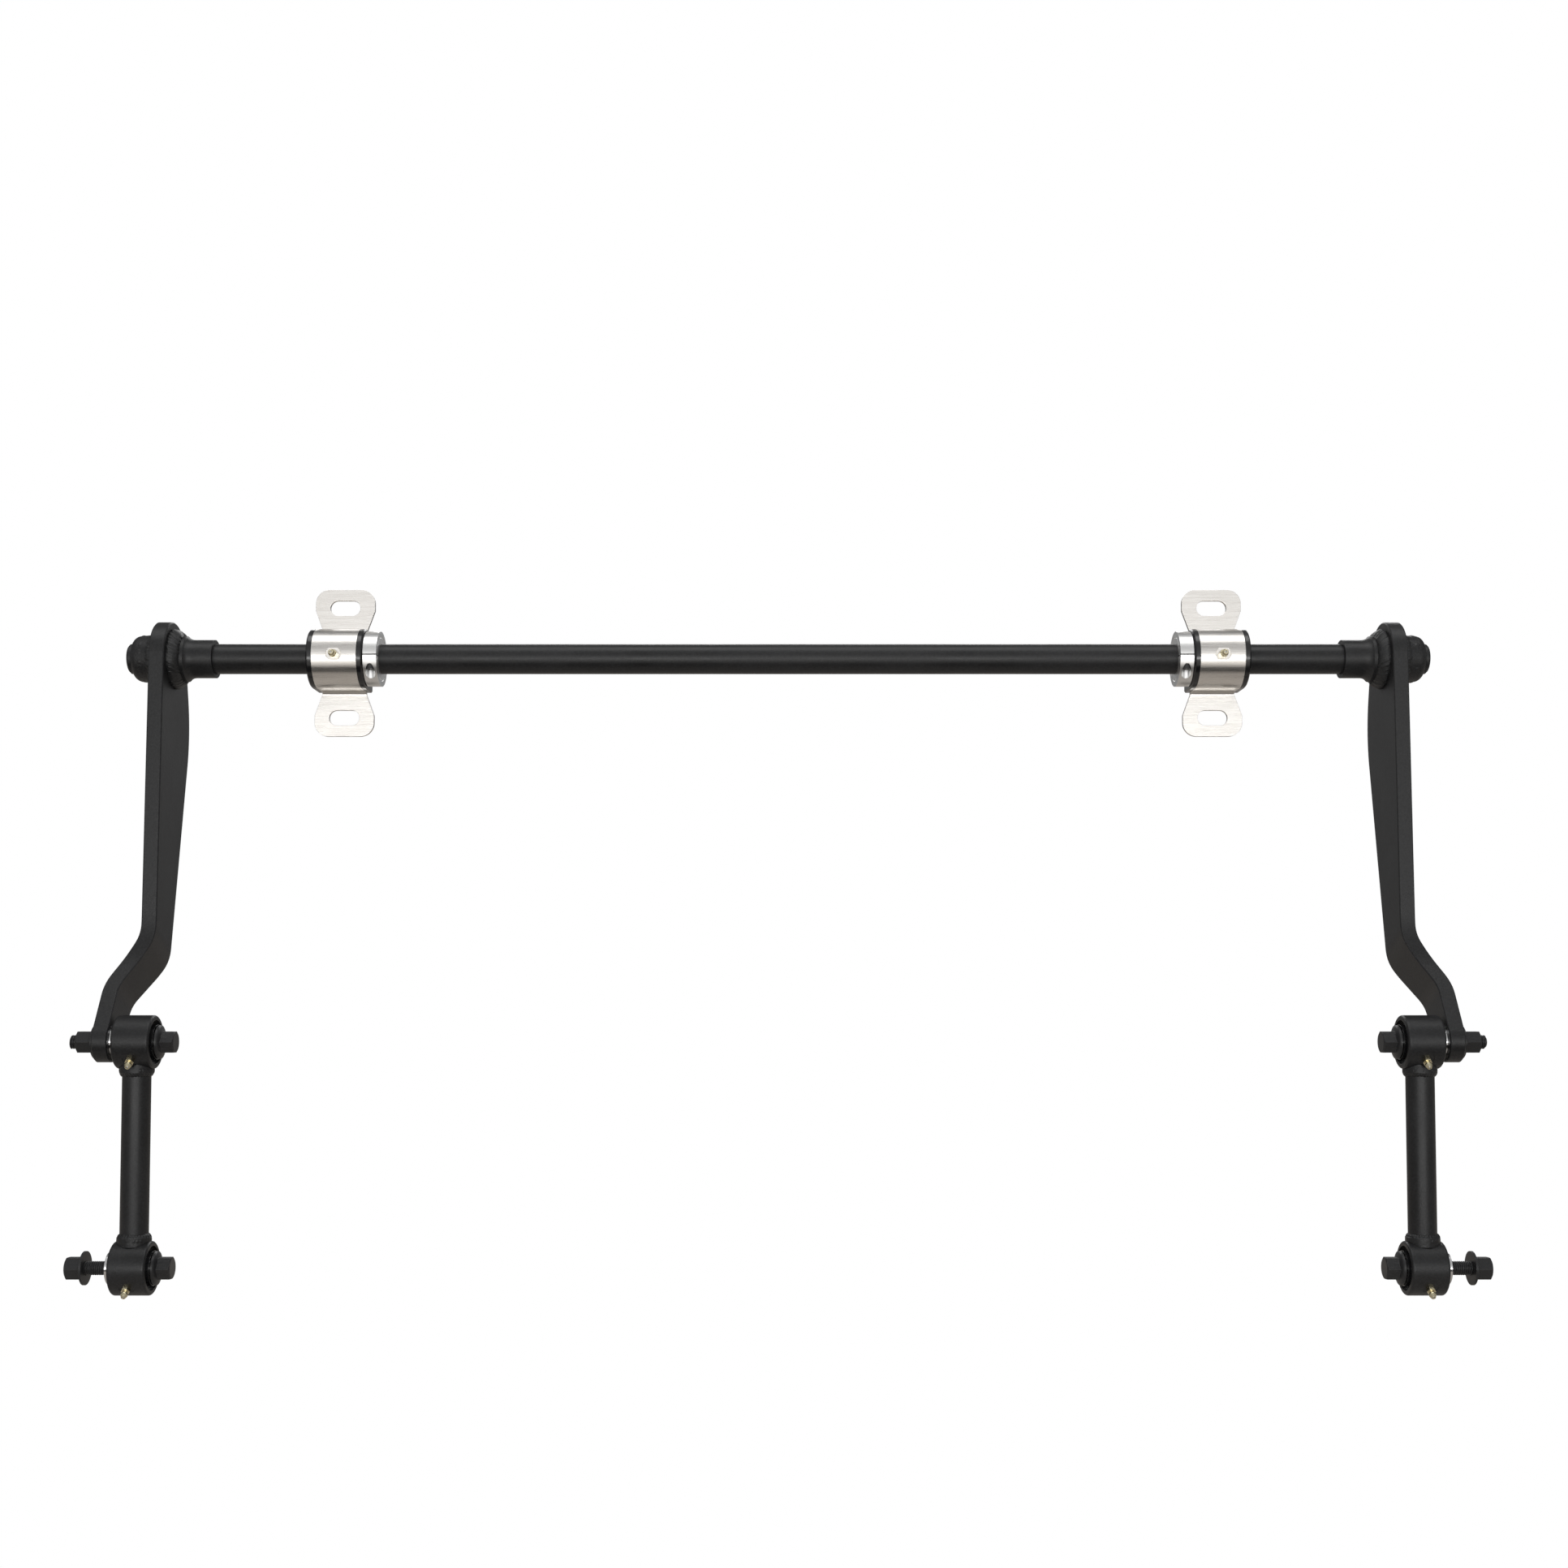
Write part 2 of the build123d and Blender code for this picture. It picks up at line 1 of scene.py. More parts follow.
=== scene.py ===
import bpy
import bmesh
import json
from math import radians
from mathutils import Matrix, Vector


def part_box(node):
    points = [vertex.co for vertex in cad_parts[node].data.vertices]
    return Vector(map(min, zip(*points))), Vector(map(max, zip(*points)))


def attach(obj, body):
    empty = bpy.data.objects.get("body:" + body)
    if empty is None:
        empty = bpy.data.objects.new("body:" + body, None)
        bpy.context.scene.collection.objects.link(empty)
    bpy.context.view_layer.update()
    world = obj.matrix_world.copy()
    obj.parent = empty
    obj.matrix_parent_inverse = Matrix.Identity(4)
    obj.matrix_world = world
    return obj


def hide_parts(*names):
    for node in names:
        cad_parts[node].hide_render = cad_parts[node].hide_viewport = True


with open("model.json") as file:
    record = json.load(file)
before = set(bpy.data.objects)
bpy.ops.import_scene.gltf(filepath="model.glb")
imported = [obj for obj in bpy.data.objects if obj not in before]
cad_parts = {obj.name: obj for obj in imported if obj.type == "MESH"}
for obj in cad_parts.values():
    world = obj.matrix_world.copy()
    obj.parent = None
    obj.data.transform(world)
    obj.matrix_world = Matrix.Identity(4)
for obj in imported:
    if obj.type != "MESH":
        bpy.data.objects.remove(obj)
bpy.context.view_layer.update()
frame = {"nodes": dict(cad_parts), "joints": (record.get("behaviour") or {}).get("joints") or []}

nodes = frame["nodes"]
pivots = {joint["name"]: joint["pos_m"] for joint in frame["joints"]}  # where each hinge stands
sides = {"left": -1, "right": 1}
armBodies = {"left": "bar", "right": "right_arm"}
print("frame loaded:", len(nodes), "nodes")


# Sockets go by name, or as i2 for the third one, where several share a name.
def pickSocket(node, key):
    if key[0] == "i" and key[1:].isdigit():
        return node.inputs[int(key[1:])]
    return node.inputs[key.replace("_", " ")]


# Each socket is given a constant or another node's output.
def addNode(tree, kind, settings=None, **sockets):
    node = tree.nodes.new(kind)
    for key, value in (settings or {}).items():
        setattr(node, key, value)
    for key, value in sockets.items():
        socket = pickSocket(node, key)
        if isinstance(value, bpy.types.NodeSocket):
            tree.links.new(value, socket)
        else:
            socket.default_value = value
    return node.outputs


def calc(tree, operation, first, second=0.0, third=0.0, clamp=False):
    settings = {"operation": operation, "use_clamp": clamp}
    return addNode(tree, "ShaderNodeMath", settings, i0=first, i1=second, i2=third)[0]


def spread(tree, value, fromRange, toRange=(0.0, 1.0)):
    return addNode(tree, "ShaderNodeMapRange", None, Value=value, From_Min=fromRange[0],
                   From_Max=fromRange[1], To_Min=toRange[0], To_Max=toRange[1])[0]


def newGroup(name, inputs, outputs):
    group = bpy.data.node_groups.new(name, "ShaderNodeTree")
    for label, default in inputs:
        socket = group.interface.new_socket(label, in_out="INPUT", socket_type="NodeSocketFloat")
        socket.default_value = default
    for label, kind in outputs:
        group.interface.new_socket(label, in_out="OUTPUT", socket_type=kind)
    entry = group.nodes.new("NodeGroupInput")
    leave = group.nodes.new("NodeGroupOutput")
    return group, entry.outputs, leave.inputs


coatSet = {
    "pebbleScale": 1400.0, "pebbleShare": 0.6, "cellShare": 0.45, "pebbleRange": (0.35, 0.65),
    "speckleScale": 480.0, "speckleShare": 0.65, "speckleRange": (0.36, 0.64),
    "patchScale": 11.0, "patchRange": (0.35, 0.65),
}


# Fine pebbled powder coat: a height, a speckled tone and slow patches.
def coatGroup():
    group, put, out = newGroup(
        "powderCoatGrain",
        [("Pebble Scale", coatSet["pebbleScale"]), ("Pebble Share", coatSet["pebbleShare"]),
         ("Speckle Scale", coatSet["speckleScale"]), ("Speckle Share", coatSet["speckleShare"]),
         ("Patch Scale", coatSet["patchScale"])],
        [("Height", "NodeSocketFloat"), ("Tone", "NodeSocketFloat"), ("Patches", "NodeSocketFloat")])
    where = addNode(group, "ShaderNodeTexCoord")["Object"]
    pebbles = addNode(group, "ShaderNodeTexNoise", None, Vector=where, Scale=put["Pebble Scale"],
                      Detail=3.0, Roughness=0.55)["Fac"]
    cells = addNode(group, "ShaderNodeTexVoronoi", {"feature": "SMOOTH_F1"}, Vector=where,
                    Scale=calc(group, "MULTIPLY", put["Pebble Scale"], coatSet["cellShare"]))["Distance"]
    mixed = calc(group, "MULTIPLY_ADD", cells, put["Pebble Share"], pebbles)
    speckle = addNode(group, "ShaderNodeTexNoise", None, Vector=where, Scale=put["Speckle Scale"],
                      Detail=2.0, Roughness=0.7)["Fac"]
    raised = calc(group, "MULTIPLY", speckle, put["Speckle Share"])
    group.links.new(calc(group, "ADD", mixed, raised), out["Height"])
    fine = spread(group, pebbles, coatSet["pebbleRange"])
    coarse = spread(group, speckle, coatSet["speckleRange"])
    tone = calc(group, "MULTIPLY_ADD", calc(group, "SUBTRACT", coarse, fine), put["Speckle Share"], fine)
    group.links.new(tone, out["Tone"])
    patches = addNode(group, "ShaderNodeTexNoise", None, Vector=where, Scale=put["Patch Scale"],
                      Detail=5.0, Roughness=0.6)["Fac"]
    group.links.new(spread(group, patches, coatSet["patchRange"]), out["Patches"])
    return group


edgeSet = {
    "radius": 0.0006, "wearRadius": 0.0012, "samples": 6, "alikeRange": (0.995, 0.86),
    "breakupScale": 260.0, "breakupRange": (0.4, 0.65), "breakupShare": (0.25, 1.0),
}


# Where a piece has an edge, and a normal that rolls over it.
def edgeGroup():
    group, put, out = newGroup(
        "softEdges",
        [("Radius", edgeSet["radius"]), ("Wear Radius", edgeSet["wearRadius"]),
         ("Breakup Scale", edgeSet["breakupScale"])],
        [("Edge", "NodeSocketFloat"), ("Normal", "NodeSocketVector")])
    samples = {"samples": edgeSet["samples"]}
    rolled = addNode(group, "ShaderNodeBevel", samples, Radius=put["Radius"])["Normal"]
    wide = addNode(group, "ShaderNodeBevel", samples, Radius=put["Wear Radius"])["Normal"]
    flat = addNode(group, "ShaderNodeNewGeometry")["Normal"]
    alike = addNode(group, "ShaderNodeVectorMath", {"operation": "DOT_PRODUCT"}, i0=wide, i1=flat)["Value"]
    edge = spread(group, alike, edgeSet["alikeRange"])
    where = addNode(group, "ShaderNodeTexCoord")["Object"]
    breakup = addNode(group, "ShaderNodeTexNoise", None, Vector=where, Scale=put["Breakup Scale"],
                      Detail=3.0)["Fac"]
    worn = spread(group, breakup, edgeSet["breakupRange"], edgeSet["breakupShare"])
    group.links.new(calc(group, "MULTIPLY", edge, worn, clamp=True), out["Edge"])
    group.links.new(rolled, out["Normal"])
    return group


brushSet = {
    "lineScale": 2600.0, "stretch": 0.012, "lineRange": (0.3, 0.7),
    "bandScale": 60.0, "bandRange": (0.35, 0.65),
}


# Brush lines along X, with slow bands across them.
def brushGroup():
    group, put, out = newGroup(
        "brushLines",
        [("Line Scale", brushSet["lineScale"]), ("Stretch", brushSet["stretch"]),
         ("Band Scale", brushSet["bandScale"])],
        [("Height", "NodeSocketFloat"), ("Streak", "NodeSocketFloat"), ("Band", "NodeSocketFloat")])
    where = addNode(group, "ShaderNodeTexCoord")["Object"]
    squeeze = addNode(group, "ShaderNodeCombineXYZ", None, X=put["Stretch"], Y=1.0, Z=1.0)[0]
    along = addNode(group, "ShaderNodeVectorMath", {"operation": "MULTIPLY"}, i0=where, i1=squeeze)["Vector"]
    lines = addNode(group, "ShaderNodeTexNoise", None, Vector=along, Scale=put["Line Scale"],
                    Detail=4.0, Roughness=0.7)["Fac"]
    band = addNode(group, "ShaderNodeTexNoise", None, Vector=along, Scale=put["Band Scale"],
                   Detail=3.0)["Fac"]
    group.links.new(lines, out["Height"])
    group.links.new(spread(group, lines, brushSet["lineRange"]), out["Streak"])
    group.links.new(spread(group, band, brushSet["bandRange"]), out["Band"])
    return group


dustSet = {"amount": 0.3, "speckScale": 420.0, "facingRange": (0.1, 1.0), "speckRange": (0.48, 0.72)}


# A thin film of dust that lies on what faces up.
def dustGroup():
    group, put, out = newGroup(
        "dustFilm",
        [("Amount", dustSet["amount"]), ("Speck Scale", dustSet["speckScale"])],
        [("Mask", "NodeSocketFloat")])
    up = addNode(group, "ShaderNodeSeparateXYZ", None,
                 Vector=addNode(group, "ShaderNodeNewGeometry")["Normal"])["Z"]
    where = addNode(group, "ShaderNodeTexCoord")["Object"]
    film = addNode(group, "ShaderNodeTexNoise", None, Vector=where, Scale=put["Speck Scale"],
                   Detail=6.0, Roughness=0.75)["Fac"]
    facing = spread(group, up, dustSet["facingRange"])
    specks = spread(group, film, dustSet["speckRange"])
    mask = calc(group, "MULTIPLY", calc(group, "MULTIPLY", facing, specks), put["Amount"], clamp=True)
    group.links.new(mask, out["Mask"])
    return group


grain = coatGroup()
edges = edgeGroup()
brush = brushGroup()
dust = dustGroup()
print("shader groups built")


def newMaterial(name):
    material = bpy.data.materials.new(name)
    material.use_nodes = True
    tree = material.node_tree
    return material, tree, tree.nodes["Principled BSDF"]


def useGroup(tree, group, **values):
    node = tree.nodes.new("ShaderNodeGroup")
    node.node_tree = group
    for key, value in values.items():
        node.inputs[key.replace("_", " ")].default_value = value
    return node.outputs


def mixColor(tree, factor, first, second):
    node = tree.nodes.new("ShaderNodeMix")
    node.data_type = "RGBA"
    tree.links.new(factor, node.inputs[0])
    for socket, value in ((node.inputs[6], first), (node.inputs[7], second)):  # the colour sockets
        if isinstance(value, bpy.types.NodeSocket):
            tree.links.new(value, socket)
        else:
            socket.default_value = (*value, 1)
    return node.outputs[2]


def bump(tree, height, strength, distance, normal):
    node = tree.nodes.new("ShaderNodeBump")
    node.inputs["Strength"].default_value = strength
    node.inputs["Distance"].default_value = distance
    tree.links.new(height, node.inputs["Height"])
    tree.links.new(normal, node.inputs["Normal"])
    return node.outputs["Normal"]


# Powder coat, the rougher coat over the welds, and the dark bolts.
coatLook = {
    "dark": (0.0030, 0.0031, 0.0034), "light": (0.0185, 0.0187, 0.0198), "toneShare": 0.6,
    "patchShare": 0.4, "edge": (0.034, 0.035, 0.037), "edgeShare": 0.6,
    "dust": (0.14, 0.135, 0.125), "dustAmount": 0.08, "pebble": 1400.0, "roughness": (0.36, 0.46),
    "bump": 0.55, "depth": 0.00012, "specular": 0.4,
}
weldLook = dict(coatLook, roughness=(0.36, 0.5), bump=0.6, depth=0.00025, pebble=520.0)
boltLook = dict(coatLook, dark=(0.010, 0.010, 0.011), light=(0.021, 0.021, 0.022), edge=(0.06, 0.06, 0.06),
                roughness=(0.34, 0.46), bump=0.18, pebble=900.0, dustAmount=0.05)


def paintedMetal(name, look):
    material, tree, shader = newMaterial(name)
    coat = useGroup(tree, grain, Pebble_Scale=look["pebble"])
    edge = useGroup(tree, edges)
    film = useGroup(tree, dust, Amount=look["dustAmount"])
    patchy = calc(tree, "MULTIPLY", coat["Patches"], look["patchShare"])
    mottle = calc(tree, "MULTIPLY_ADD", coat["Tone"], look["toneShare"], patchy)
    tone = mixColor(tree, mottle, look["dark"], look["light"])
    tone = mixColor(tree, calc(tree, "MULTIPLY", edge["Edge"], look["edgeShare"]), tone, look["edge"])
    tone = mixColor(tree, film["Mask"], tone, look["dust"])
    tree.links.new(tone, shader.inputs["Base Color"])
    tree.links.new(spread(tree, coat["Patches"], (0.0, 1.0), look["roughness"]), shader.inputs["Roughness"])
    normal = bump(tree, coat["Height"], look["bump"], look["depth"], edge["Normal"])
    tree.links.new(normal, shader.inputs["Normal"])
    shader.inputs["Specular IOR Level"].default_value = look["specular"]
    return material


powderCoat = paintedMetal("powderCoat", coatLook)
weldCoat = paintedMetal("weldCoat", weldLook)
boltBlack = paintedMetal("boltBlack", boltLook)

# Glossy moulded bushes.
bushLook = {
    "dark": (0.004, 0.004, 0.0045), "light": (0.010, 0.010, 0.011), "roughness": (0.16, 0.3),
    "pebble": 240.0, "patch": 34.0, "bump": 0.12, "depth": 0.0001, "edgeRadius": 0.0005,
    "dust": (0.14, 0.135, 0.125), "dustAmount": 0.12, "clearCoat": 0.3,
}


def bushPlastic(name, look):
    material, tree, shader = newMaterial(name)
    coat = useGroup(tree, grain, Pebble_Scale=look["pebble"], Patch_Scale=look["patch"])
    edge = useGroup(tree, edges, Radius=look["edgeRadius"])
    film = useGroup(tree, dust, Amount=look["dustAmount"])
    tone = mixColor(tree, coat["Patches"], look["dark"], look["light"])
    tone = mixColor(tree, film["Mask"], tone, look["dust"])
    tree.links.new(tone, shader.inputs["Base Color"])
    tree.links.new(spread(tree, coat["Patches"], (0.0, 1.0), look["roughness"]), shader.inputs["Roughness"])
    normal = bump(tree, coat["Height"], look["bump"], look["depth"], edge["Normal"])
    tree.links.new(normal, shader.inputs["Normal"])
    shader.inputs["Coat Weight"].default_value = look["clearCoat"]
    return material


bushBlack = bushPlastic("bushPlastic", bushLook)

# Bare and plated metals; only the straps are brushed in one direction.
metalLook = {"bandShare": 0.35, "edgeShare": 0.5, "depth": 0.00003}
strapLook = dict(metalLook, lines=2400.0, stretch=0.012, edgeRadius=0.0005, dark=(0.70, 0.67, 0.63),
                 light=(0.90, 0.88, 0.85), band=(0.80, 0.77, 0.73), edge=(0.95, 0.94, 0.92),
                 roughness=(0.22, 0.36), bump=0.35)
sleeveLook = dict(metalLook, lines=3000.0, stretch=1.0, edgeRadius=0.0003, dark=(0.66, 0.66, 0.66),
                  light=(0.82, 0.82, 0.82), band=(0.74, 0.74, 0.75), edge=(0.9, 0.9, 0.9),
                  roughness=(0.10, 0.18), bump=0.08)
collarLook = dict(metalLook, lines=1800.0, stretch=1.0, edgeRadius=0.0004, dark=(0.80, 0.80, 0.79),
                  light=(0.90, 0.90, 0.89), band=(0.85, 0.85, 0.84), edge=(0.95, 0.95, 0.95),
                  roughness=(0.28, 0.40), bump=0.12)
zincLook = dict(metalLook, lines=1500.0, stretch=1.0, edgeRadius=0.0003, dark=(0.52, 0.44, 0.26),
                light=(0.78, 0.72, 0.50), band=(0.62, 0.60, 0.48), edge=(0.9, 0.88, 0.8),
                roughness=(0.2, 0.34), bump=0.15)
ballLook = dict(sleeveLook, roughness=(0.06, 0.12))


def brightMetal(name, look):
    material, tree, shader = newMaterial(name)
    lines = useGroup(tree, brush, Line_Scale=look["lines"], Stretch=look["stretch"])
    edge = useGroup(tree, edges, Radius=look["edgeRadius"])
    tone = mixColor(tree, lines["Streak"], look["dark"], look["light"])
    tone = mixColor(tree, calc(tree, "MULTIPLY", lines["Band"], look["bandShare"]), tone, look["band"])
    tone = mixColor(tree, calc(tree, "MULTIPLY", edge["Edge"], look["edgeShare"]), tone, look["edge"])
    tree.links.new(tone, shader.inputs["Base Color"])
    tree.links.new(spread(tree, lines["Streak"], (0.0, 1.0), look["roughness"]), shader.inputs["Roughness"])
    normal = bump(tree, lines["Height"], look["bump"], look["depth"], edge["Normal"])
    tree.links.new(normal, shader.inputs["Normal"])
    shader.inputs["Metallic"].default_value = 1.0
    return material


strapSteel = brightMetal("strapSteel", strapLook)
sleeveSteel = brightMetal("sleeveSteel", sleeveLook)
collarAluminium = brightMetal("collarAluminium", collarLook)
zincYellow = brightMetal("zincYellow", zincLook)
ballSteel = brightMetal("ballSteel", ballLook)
print("materials built")

# The first beginning that fits a piece's name gives its finish, so longer ones come first.
finishes = [
    ("arm_weld", weldCoat), ("link_weld", weldCoat),
    ("collar_screws", boltBlack), ("collar", collarAluminium),
    ("bracket_strap", strapSteel), ("bracket_bush", bushBlack), ("link_bush", bushBlack),
    ("bracket_fitting_ball", ballSteel), ("bracket_fitting", zincYellow),
    ("link_fitting_upper_ball", ballSteel), ("link_fitting_lower_ball", ballSteel),
    ("link_fitting", zincYellow),
    ("link_sleeve", sleeveSteel), ("link_bolt", boltBlack), ("link_nut", boltBlack),
]
for name, piece in nodes.items():
    found = next((material for start, material in finishes if name.startswith(start)), powderCoat)
    piece.data.materials.clear()
    piece.data.materials.append(found)
print("finishes put on the frame's pieces")


def newShape(name, inputs):
    tree = bpy.data.node_groups.new(name, "GeometryNodeTree")
    for label, kind, default in inputs:
        socket = tree.interface.new_socket(label, in_out="INPUT", socket_type=kind)
        if default is not None:
            socket.default_value = default
    tree.interface.new_socket("Geometry", in_out="OUTPUT", socket_type="NodeSocketGeometry")
    entry = tree.nodes.new("NodeGroupInput")
    leave = tree.nodes.new("NodeGroupOutput")
    return tree, entry.outputs, leave.inputs[0]


# The inputs that every shape ends with, and the nodes that use them.
placing = [
    ("Place", "NodeSocketVector", None), ("Turn", "NodeSocketVector", None),
    ("Material", "NodeSocketMaterial", None),
]


def finishShape(tree, geometry, put, leave):
    smooth = addNode(tree, "GeometryNodeSetShadeSmooth", None, Geometry=geometry)["Geometry"]
    placed = addNode(tree, "GeometryNodeTransform", None, Geometry=smooth, Translation=put["Place"],
                     Rotation=put["Turn"])["Geometry"]
    real = addNode(tree, "GeometryNodeRealizeInstances", None, Geometry=placed)["Geometry"]
    coated = addNode(tree, "GeometryNodeSetMaterial", None, Geometry=real,
                     Material=put["Material"])["Geometry"]
    tree.links.new(coated, leave)


rippleSet = {
    "segments": 14, "rings": 9, "leanSpread": 0.12, "unevenness": 0.2,  # leanSpread is in radians
}


# A ring of overlapping weld ripples, round the Z axis until it is turned.
def rippleShape():
    tree, put, leave = newShape("weldRipples", [
        ("Ring Radius", "NodeSocketFloat", 0.025), ("Count", "NodeSocketInt", 50),
        ("Height", "NodeSocketFloat", 0.0014), ("Along", "NodeSocketFloat", 0.0023),
        ("Across", "NodeSocketFloat", 0.0042), ("Tilt", "NodeSocketFloat", 0.8),
        ("Sweep", "NodeSocketFloat", 0.3), ("Unevenness", "NodeSocketFloat", rippleSet["unevenness"]),
        ("Seed", "NodeSocketInt", 3)] + placing)
    ring = addNode(tree, "GeometryNodeCurvePrimitiveCircle", {"mode": "RADIUS"}, Resolution=put["Count"],
                   Radius=put["Ring Radius"])["Curve"]
    ripple = addNode(tree, "GeometryNodeMeshUVSphere", None, Segments=rippleSet["segments"],
                     Rings=rippleSet["rings"], Radius=1.0)["Mesh"]
    spot = addNode(tree, "ShaderNodeSeparateXYZ", None, Vector=addNode(tree, "GeometryNodeInputPosition")[0])
    angle = calc(tree, "ARCTAN2", spot["Y"], spot["X"])
    wobble = addNode(tree, "FunctionNodeRandomValue", {"data_type": "FLOAT"}, i2=-1.0, i3=1.0,
                     Seed=put["Seed"])[1]  # i2 and i3 are its lowest and highest
    jitter = calc(tree, "MULTIPLY_ADD", wobble, put["Unevenness"], 1.0)
    lean = calc(tree, "MULTIPLY", wobble, rippleSet["leanSpread"])
    swept = calc(tree, "ADD", lean, put["Sweep"])
    turn = addNode(tree, "ShaderNodeCombineXYZ", None, X=swept, Y=put["Tilt"], Z=angle)[0]
    size = addNode(tree, "ShaderNodeCombineXYZ", None, X=put["Height"], Y=put["Along"], Z=put["Across"])[0]
    sized = addNode(tree, "ShaderNodeVectorMath", {"operation": "SCALE"}, i0=size, Scale=jitter)[0]
    beads = addNode(tree, "GeometryNodeInstanceOnPoints", None, Points=ring, Instance=ripple,
                    Rotation=turn, Scale=sized)["Instances"]
    finishShape(tree, beads, put, leave)
    return tree


# A round-crested screw thread, up the Z axis until it is turned.
def threadShape():
    tree, put, leave = newShape("screwThread", [
        ("Turns", "NodeSocketFloat", 12.0), ("Pitch Radius", "NodeSocketFloat", 0.0056),
        ("Length", "NodeSocketFloat", 0.02), ("Crest Radius", "NodeSocketFloat", 0.0007)] + placing)
    helix = addNode(tree, "GeometryNodeCurveSpiral", None, Resolution=40, Rotations=put["Turns"],
                    Start_Radius=put["Pitch Radius"], End_Radius=put["Pitch Radius"],
                    Height=put["Length"])["Curve"]
    crest = addNode(tree, "GeometryNodeCurvePrimitiveCircle", {"mode": "RADIUS"}, Resolution=8,
                    Radius=put["Crest Radius"])["Curve"]
    thread = addNode(tree, "GeometryNodeCurveToMesh", None, Curve=helix, Profile_Curve=crest,
                     Fill_Caps=True)["Mesh"]
    finishShape(tree, thread, put, leave)
    return tree


# Runs a geometry group with these inputs and keeps the result as a plain mesh.
def makePiece(name, shape, values):
    carrier = bpy.data.objects.new(name + "Nodes", bpy.data.meshes.new(name + "Nodes"))
    bpy.context.scene.collection.objects.link(carrier)
    modifier = carrier.modifiers.new("shape", "NODES")
    modifier.node_group = shape
    for item in shape.interface.items_tree:
        if item.item_type == "SOCKET" and item.in_out == "INPUT" and item.name in values:
            modifier[item.identifier] = values[item.name]
    graph = bpy.context.evaluated_depsgraph_get()
    mesh = bpy.data.meshes.new_from_object(carrier.evaluated_get(graph))
    bpy.data.objects.remove(carrier)
    piece = bpy.data.objects.new(name, mesh)
    bpy.context.scene.collection.objects.link(piece)
    return piece


# Makes one mesh of several and lets it ride on its body.
def joinInto(name, pieces, body, material):
    merged = bmesh.new()
    for piece in pieces:
        merged.from_mesh(piece.data)
        bpy.data.objects.remove(piece)
    for face in merged.faces:
        face.material_index = 0
    mesh = bpy.data.meshes.new(name)
    merged.to_mesh(mesh)
    merged.free()
    mesh.materials.append(material)
    whole = bpy.data.objects.new(name, mesh)
    bpy.context.scene.collection.objects.link(whole)
    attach(whole, body)
    return whole


weldRipples = rippleShape()
screwThread = threadShape()
turnedToX = (0.0, radians(90), 0.0)
print("geometry groups built")


# One ring of ripples; mirrored is -1 where they lean the other way.
def ripplePiece(name, weld, place, axisTurn, seed, mirrored):
    return makePiece(name, weldRipples, {
        "Ring Radius": weld["radius"], "Count": weld["count"], "Height": weld["height"],
        "Along": weld["along"], "Across": weld["across"], "Tilt": radians(weld["tilt"]) * mirrored,
        "Sweep": radians(weld["sweep"]) * mirrored, "Unevenness": rippleSet["unevenness"],
        "Seed": seed, "Place": place, "Turn": axisTurn, "Material": weldCoat})


# Welds round the hubs and the bar's ends. Each pass has its distance out from a face of the arm,
# its ring's radius, the ripple's half-sizes, its tilt and sweep in degrees, and how many go round.
armWeld = {
    "barY": pivots["bar_roll"][1], "firstSeed": 11,
    "innerFace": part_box("arm_weld_inner_right")[1].x, "outerFace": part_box("arm_weld_outer_right")[0].x,
    "passes": [
        {"face": "innerFace", "out": -0.0051, "radius": 0.0252, "height": 0.0018, "along": 0.0024,
         "across": 0.0060, "tilt": 33, "sweep": 28, "count": 72},
        {"face": "outerFace", "out": 0.0039, "radius": 0.0208, "height": 0.0032, "along": 0.0040,
         "across": 0.0046, "tilt": -6, "sweep": 14, "count": 44},
        {"face": "outerFace", "out": 0.0129, "radius": 0.0192, "height": 0.0031, "along": 0.0040,
         "across": 0.0044, "tilt": 4, "sweep": 14, "count": 40},
        {"face": "outerFace", "out": 0.0189, "radius": 0.0166, "height": 0.0018, "along": 0.0034,
         "across": 0.0030, "tilt": -50, "sweep": 10, "count": 34},
    ],
}

for sideName, side in sides.items():
    ripples = []
    for number, weld in enumerate(armWeld["passes"]):
        place = ((armWeld[weld["face"]] + weld["out"]) * side, armWeld["barY"], 0.0)
        seed = armWeld["firstSeed"] + number + side
        ripples.append(ripplePiece(f"armRipple{number}", weld, place, turnedToX, seed, side))
    joinInto(f"armWeldRipples_{sideName}", ripples, armBodies[sideName], weldCoat)
print("arm weld ripples laid")

# Welds between each link's tube and its eyes; out is the distance from the eye's middle.
upperPivot = pivots["link_right_swing"]
lowerPivot = pivots["axle_stud_right_swivel"]
linkWeld = {
    "x": upperPivot[0], "y": upperPivot[1], "upper": upperPivot[2], "lower": lowerPivot[2],
    "firstSeed": 31,
    "passes": [
        {"out": 0.0262, "radius": 0.0140, "height": 0.0013, "along": 0.0021, "across": 0.0028,
         "tilt": 10, "sweep": 12, "count": 30},
        {"out": 0.0292, "radius": 0.0132, "height": 0.0012, "along": 0.0020, "across": 0.0024,
         "tilt": 35, "sweep": 12, "count": 28},
    ],
}

for sideName, side in sides.items():
    ripples = []
    for eye, inward in (("upper", -1), ("lower", 1)):
        for number, weld in enumerate(linkWeld["passes"]):
            place = (linkWeld["x"] * side, linkWeld["y"], linkWeld[eye] + inward * weld["out"])
            seed = linkWeld["firstSeed"] + number + inward
            ripples.append(ripplePiece(f"linkRipple{number}", weld, place, (0.0, 0.0, 0.0), seed, -inward))
    joinInto(f"linkWeldRipples_{sideName}", ripples, f"link_{sideName}", weldCoat)
print("link weld ripples laid")

